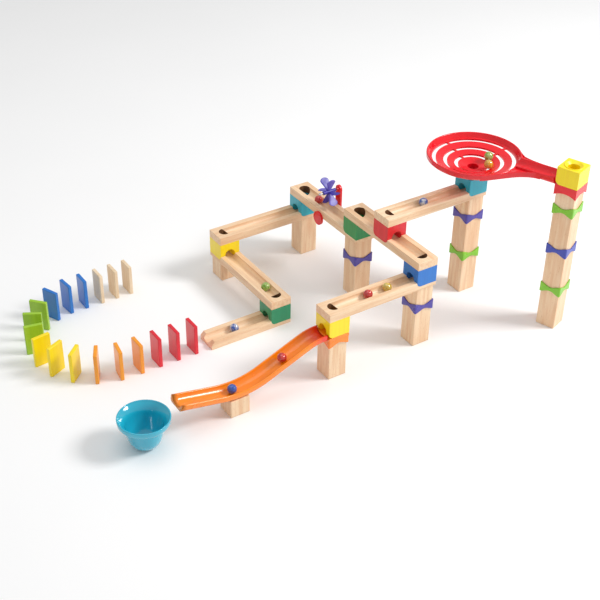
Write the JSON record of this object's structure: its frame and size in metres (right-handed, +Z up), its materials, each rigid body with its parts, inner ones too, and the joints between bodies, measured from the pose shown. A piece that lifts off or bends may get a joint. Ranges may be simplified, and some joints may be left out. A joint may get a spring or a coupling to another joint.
{
  "type": "marble run",
  "caption": "Free-standing toy marble run: wooden posts, coloured blocks and grooved rails with a funnel, a windmill, a drop slide, a catch cup and a domino trail",
  "frame": {"origin": "middle of the footprint, on the floor", "axes": "+Z up; +X along the short rails, from the cup towards the funnel; +Y along the long row of rails, from the slide towards the domino trail"},
  "size_m": [0.8512, 0.5284, 0.3132],
  "materials": {
    "beech": "fine sanded, clear lacquer",
    "beech_yellow": "stained, satin lacquer",
    "beech_teal": "stained, satin lacquer",
    "beech_red": "stained, satin lacquer",
    "beech_green": "stained, satin lacquer",
    "beech_blue": "stained, satin lacquer",
    "beech_orange": "stained, satin lacquer",
    "beech_lime": "stained, satin lacquer",
    "plastic_lime": "moulded, satin",
    "plastic_purple": "moulded, satin",
    "plastic_red": "moulded, glossy",
    "plastic_orange": "moulded, glossy",
    "plastic_teal": "moulded, glossy",
    "plastic_violet": "moulded, glossy",
    "steel": "drawn wire, bright",
    "glass_green": "polished, yellow swirl",
    "glass_amber": "polished",
    "glass_white": "polished, white and blue swirl",
    "glass_red": "polished",
    "glass_blue": "polished"
  },
  "bodies": {
    "run": {"posts_start_tower": "beech", "posts_funnel_tower": "beech", "posts_green_tower": "beech", "posts_blue_tower": "beech", "post_teal_tower": "beech", "post_yellow_tower": "beech", "post_slide_head": "beech", "post_slide_foot": "beech", "collars_green": "plastic_lime", "collars_purple": "plastic_purple", "block_start_yellow": "beech_yellow", "block_funnel_teal": "beech_teal", "block_junction_red": "beech_red", "block_green": "beech_green", "block_blue": "beech_blue", "block_teal": "beech_teal", "block_yellow": "beech_yellow", "block_floor_green": "beech_green", "block_slide_yellow": "beech_yellow", "rail_upper": "beech", "rail_double": "beech", "rail_windmill": "beech", "rail_short_level": "beech", "rail_descent": "beech", "rail_to_slide": "beech", "rail_floor": "beech", "funnel_red": "plastic_red", "slide_orange": "plastic_orange", "windmill_holder": "plastic_red", "windmill_axle": "steel"},
    "windmill": {"windmill_sails": "plastic_violet"},
    "cup": {"catch_cup": "plastic_teal"},
    "domino_red_1_body": {"domino_red_1": "beech_red"},
    "domino_red_2_body": {"domino_red_2": "beech_red"},
    "domino_red_3_body": {"domino_red_3": "beech_red"},
    "domino_orange_1_body": {"domino_orange_1": "beech_orange"},
    "domino_orange_2_body": {"domino_orange_2": "beech_orange"},
    "domino_orange_3_body": {"domino_orange_3": "beech_orange"},
    "domino_yellow_1_body": {"domino_yellow_1": "beech_yellow"},
    "domino_yellow_2_body": {"domino_yellow_2": "beech_yellow"},
    "domino_yellow_3_body": {"domino_yellow_3": "beech_yellow"},
    "domino_lime_1_body": {"domino_lime_1": "beech_lime"},
    "domino_lime_2_body": {"domino_lime_2": "beech_lime"},
    "domino_lime_3_body": {"domino_lime_3": "beech_lime"},
    "domino_blue_1_body": {"domino_blue_1": "beech_blue"},
    "domino_blue_2_body": {"domino_blue_2": "beech_blue"},
    "domino_blue_3_body": {"domino_blue_3": "beech_blue"},
    "domino_natural_1_body": {"domino_natural_1": "beech"},
    "domino_natural_2_body": {"domino_natural_2": "beech"},
    "domino_natural_3_body": {"domino_natural_3": "beech"},
    "marble_bowl_green_body": {"marble_bowl_green": "glass_green"},
    "marble_bowl_yellow_body": {"marble_bowl_yellow": "glass_amber"},
    "marble_upper_white_body": {"marble_upper_white": "glass_white"},
    "marble_windmill_red_body": {"marble_windmill_red": "glass_red"},
    "marble_lower_yellow_body": {"marble_lower_yellow": "glass_amber"},
    "marble_lower_red_body": {"marble_lower_red": "glass_red"},
    "marble_slide_red_body": {"marble_slide_red": "glass_red"},
    "marble_slide_blue_body": {"marble_slide_blue": "glass_blue"},
    "marble_descent_green_body": {"marble_descent_green": "glass_green"},
    "marble_floor_white_body": {"marble_floor_white": "glass_white"}
  },
  "joints": [
    {"name": "windmill_spin", "type": "hinge", "parent": "run", "child": "windmill", "pos_m": [0.16391, 0.12017, 0.1625], "axis": [1, 0, 0], "continuous": true},
    {"name": "cup_lift", "type": "slide", "parent": "run", "child": "cup", "axis": [0, 0, 1], "range_m": [0, 0.12]},
    {"name": "bowl_green_swirl", "type": "hinge", "parent": "run", "child": "marble_bowl_green_body", "pos_m": [0.33991, -0.06383, 0.2627], "axis": [0, 0, 1], "range_deg": [-14, 150]},
    {"name": "bowl_yellow_swirl", "type": "hinge", "parent": "run", "child": "marble_bowl_yellow_body", "pos_m": [0.33991, -0.06383, 0.2627], "axis": [0, 0, 1], "range_deg": [-110, 14]},
    {"name": "upper_roll", "type": "slide", "parent": "run", "child": "marble_upper_white_body", "axis": [-1, 0, 0], "range_m": [-0.106, 0.07]},
    {"name": "windmill_roll", "type": "slide", "parent": "run", "child": "marble_windmill_red_body", "axis": [0, 1, 0], "range_m": [-0.012, 0.048]},
    {"name": "lower_yellow_roll", "type": "slide", "parent": "run", "child": "marble_lower_yellow_body", "axis": [-1, 0, 0], "range_m": [-0.068, 0.011]},
    {"name": "lower_red_roll", "type": "slide", "parent": "run", "child": "marble_lower_red_body", "axis": [-1, 0, 0], "range_m": [-0.011, 0.069]},
    {"name": "slide_red_roll", "type": "slide", "parent": "run", "child": "marble_slide_red_body", "axis": [-0.9272, 0, -0.3746], "range_m": [-0.043, 0.038]},
    {"name": "slide_blue_roll", "type": "hinge", "parent": "run", "child": "marble_slide_blue_body", "pos_m": [-0.19836, -0.15183, 0.185], "axis": [0, 1, 0], "range_deg": [-17, 9.5]},
    {"name": "descent_roll", "type": "slide", "parent": "run", "child": "marble_descent_green_body", "axis": [0, -1, 0], "range_m": [-0.144, 0.032]},
    {"name": "floor_roll", "type": "slide", "parent": "run", "child": "marble_floor_white_body", "axis": [-1, 0, 0], "range_m": [-0.084, 0.048]},
    {"name": "domino_red_1_topple", "type": "hinge", "parent": "run", "child": "domino_red_1_body", "pos_m": [-0.18234, 0.02417, 0], "axis": [0, -1, 0], "range_deg": [0, 70]},
    {"name": "domino_red_2_topple", "type": "hinge", "parent": "run", "child": "domino_red_2_body", "pos_m": [-0.21634, 0.02417, 0], "axis": [0, -1, 0], "range_deg": [0, 70]},
    {"name": "domino_red_3_topple", "type": "hinge", "parent": "run", "child": "domino_red_3_body", "pos_m": [-0.25034, 0.02417, 0], "axis": [0, -1, 0], "range_deg": [0, 70]},
    {"name": "domino_orange_1_topple", "type": "hinge", "parent": "run", "child": "domino_orange_1_body", "pos_m": [-0.28434, 0.02417, 0], "axis": [0, -1, 0], "range_deg": [0, 70]},
    {"name": "domino_orange_2_topple", "type": "hinge", "parent": "run", "child": "domino_orange_2_body", "pos_m": [-0.31857, 0.02601, 0], "axis": [-0.1542, -0.988, 0], "range_deg": [0, 70]},
    {"name": "domino_orange_3_topple", "type": "hinge", "parent": "run", "child": "domino_orange_3_body", "pos_m": [-0.35295, 0.03848, 0], "axis": [-0.4642, -0.8858, 0], "range_deg": [0, 70]},
    {"name": "domino_yellow_1_topple", "type": "hinge", "parent": "run", "child": "domino_yellow_1_body", "pos_m": [-0.38126, 0.06109, 0], "axis": [-0.7226, -0.6913, 0], "range_deg": [0, 70]},
    {"name": "domino_yellow_2_topple", "type": "hinge", "parent": "run", "child": "domino_yellow_2_body", "pos_m": [-0.40087, 0.09156, 0], "axis": [-0.9054, -0.4246, 0], "range_deg": [0, 70]},
    {"name": "domino_yellow_3_topple", "type": "hinge", "parent": "run", "child": "domino_yellow_3_body", "pos_m": [-0.40968, 0.12602, 0], "axis": [-0.9928, -0.1194, 0], "range_deg": [0, 70]},
    {"name": "domino_lime_1_topple", "type": "hinge", "parent": "run", "child": "domino_lime_1_body", "pos_m": [-0.40724, 0.1615, 0], "axis": [-0.9803, 0.1977, 0], "range_deg": [0, 70]},
    {"name": "domino_lime_2_topple", "type": "hinge", "parent": "run", "child": "domino_lime_2_body", "pos_m": [-0.3938, 0.19443, 0], "axis": [-0.8689, 0.4949, 0], "range_deg": [0, 70]},
    {"name": "domino_lime_3_topple", "type": "hinge", "parent": "run", "child": "domino_lime_3_body", "pos_m": [-0.37046, 0.22171, 0], "axis": [-0.6678, 0.7443, 0], "range_deg": [0, 70]},
    {"name": "domino_blue_1_topple", "type": "hinge", "parent": "run", "child": "domino_blue_1_body", "pos_m": [-0.3397, 0.24021, 0], "axis": [-0.3981, 0.9173, 0], "range_deg": [0, 70]},
    {"name": "domino_blue_2_topple", "type": "hinge", "parent": "run", "child": "domino_blue_2_body", "pos_m": [-0.30669, 0.24789, 0], "axis": [-0.1057, 0.9944, 0], "range_deg": [0, 70]},
    {"name": "domino_blue_3_topple", "type": "hinge", "parent": "run", "child": "domino_blue_3_body", "pos_m": [-0.27576, 0.24817, 0], "axis": [0, 1, 0], "range_deg": [0, 70]},
    {"name": "domino_natural_1_topple", "type": "hinge", "parent": "run", "child": "domino_natural_1_body", "pos_m": [-0.24482, 0.24817, 0], "axis": [0, 1, 0], "range_deg": [0, 70]},
    {"name": "domino_natural_2_topple", "type": "hinge", "parent": "run", "child": "domino_natural_2_body", "pos_m": [-0.21558, 0.24817, 0], "axis": [0, 1, 0], "range_deg": [0, 70]},
    {"name": "domino_natural_3_topple", "type": "hinge", "parent": "run", "child": "domino_natural_3_body", "pos_m": [-0.1877, 0.24817, 0], "axis": [0, 1, 0], "range_deg": [0, 70]}
  ],
  "couplings": [
    {"joint": "domino_red_2_topple", "follows": "domino_red_1_topple", "ratio": 1},
    {"joint": "domino_red_3_topple", "follows": "domino_red_1_topple", "ratio": 1},
    {"joint": "domino_orange_1_topple", "follows": "domino_red_1_topple", "ratio": 1},
    {"joint": "domino_orange_2_topple", "follows": "domino_red_1_topple", "ratio": 1},
    {"joint": "domino_orange_3_topple", "follows": "domino_red_1_topple", "ratio": 1},
    {"joint": "domino_yellow_1_topple", "follows": "domino_red_1_topple", "ratio": 1},
    {"joint": "domino_yellow_2_topple", "follows": "domino_red_1_topple", "ratio": 1},
    {"joint": "domino_yellow_3_topple", "follows": "domino_red_1_topple", "ratio": 1},
    {"joint": "domino_lime_1_topple", "follows": "domino_red_1_topple", "ratio": 1},
    {"joint": "domino_lime_2_topple", "follows": "domino_red_1_topple", "ratio": 1},
    {"joint": "domino_lime_3_topple", "follows": "domino_red_1_topple", "ratio": 1},
    {"joint": "domino_blue_1_topple", "follows": "domino_red_1_topple", "ratio": 1},
    {"joint": "domino_blue_2_topple", "follows": "domino_red_1_topple", "ratio": 1},
    {"joint": "domino_blue_3_topple", "follows": "domino_red_1_topple", "ratio": 1},
    {"joint": "domino_natural_1_topple", "follows": "domino_red_1_topple", "ratio": 1},
    {"joint": "domino_natural_2_topple", "follows": "domino_red_1_topple", "ratio": 1},
    {"joint": "domino_natural_3_topple", "follows": "domino_red_1_topple", "ratio": 1}
  ]
}
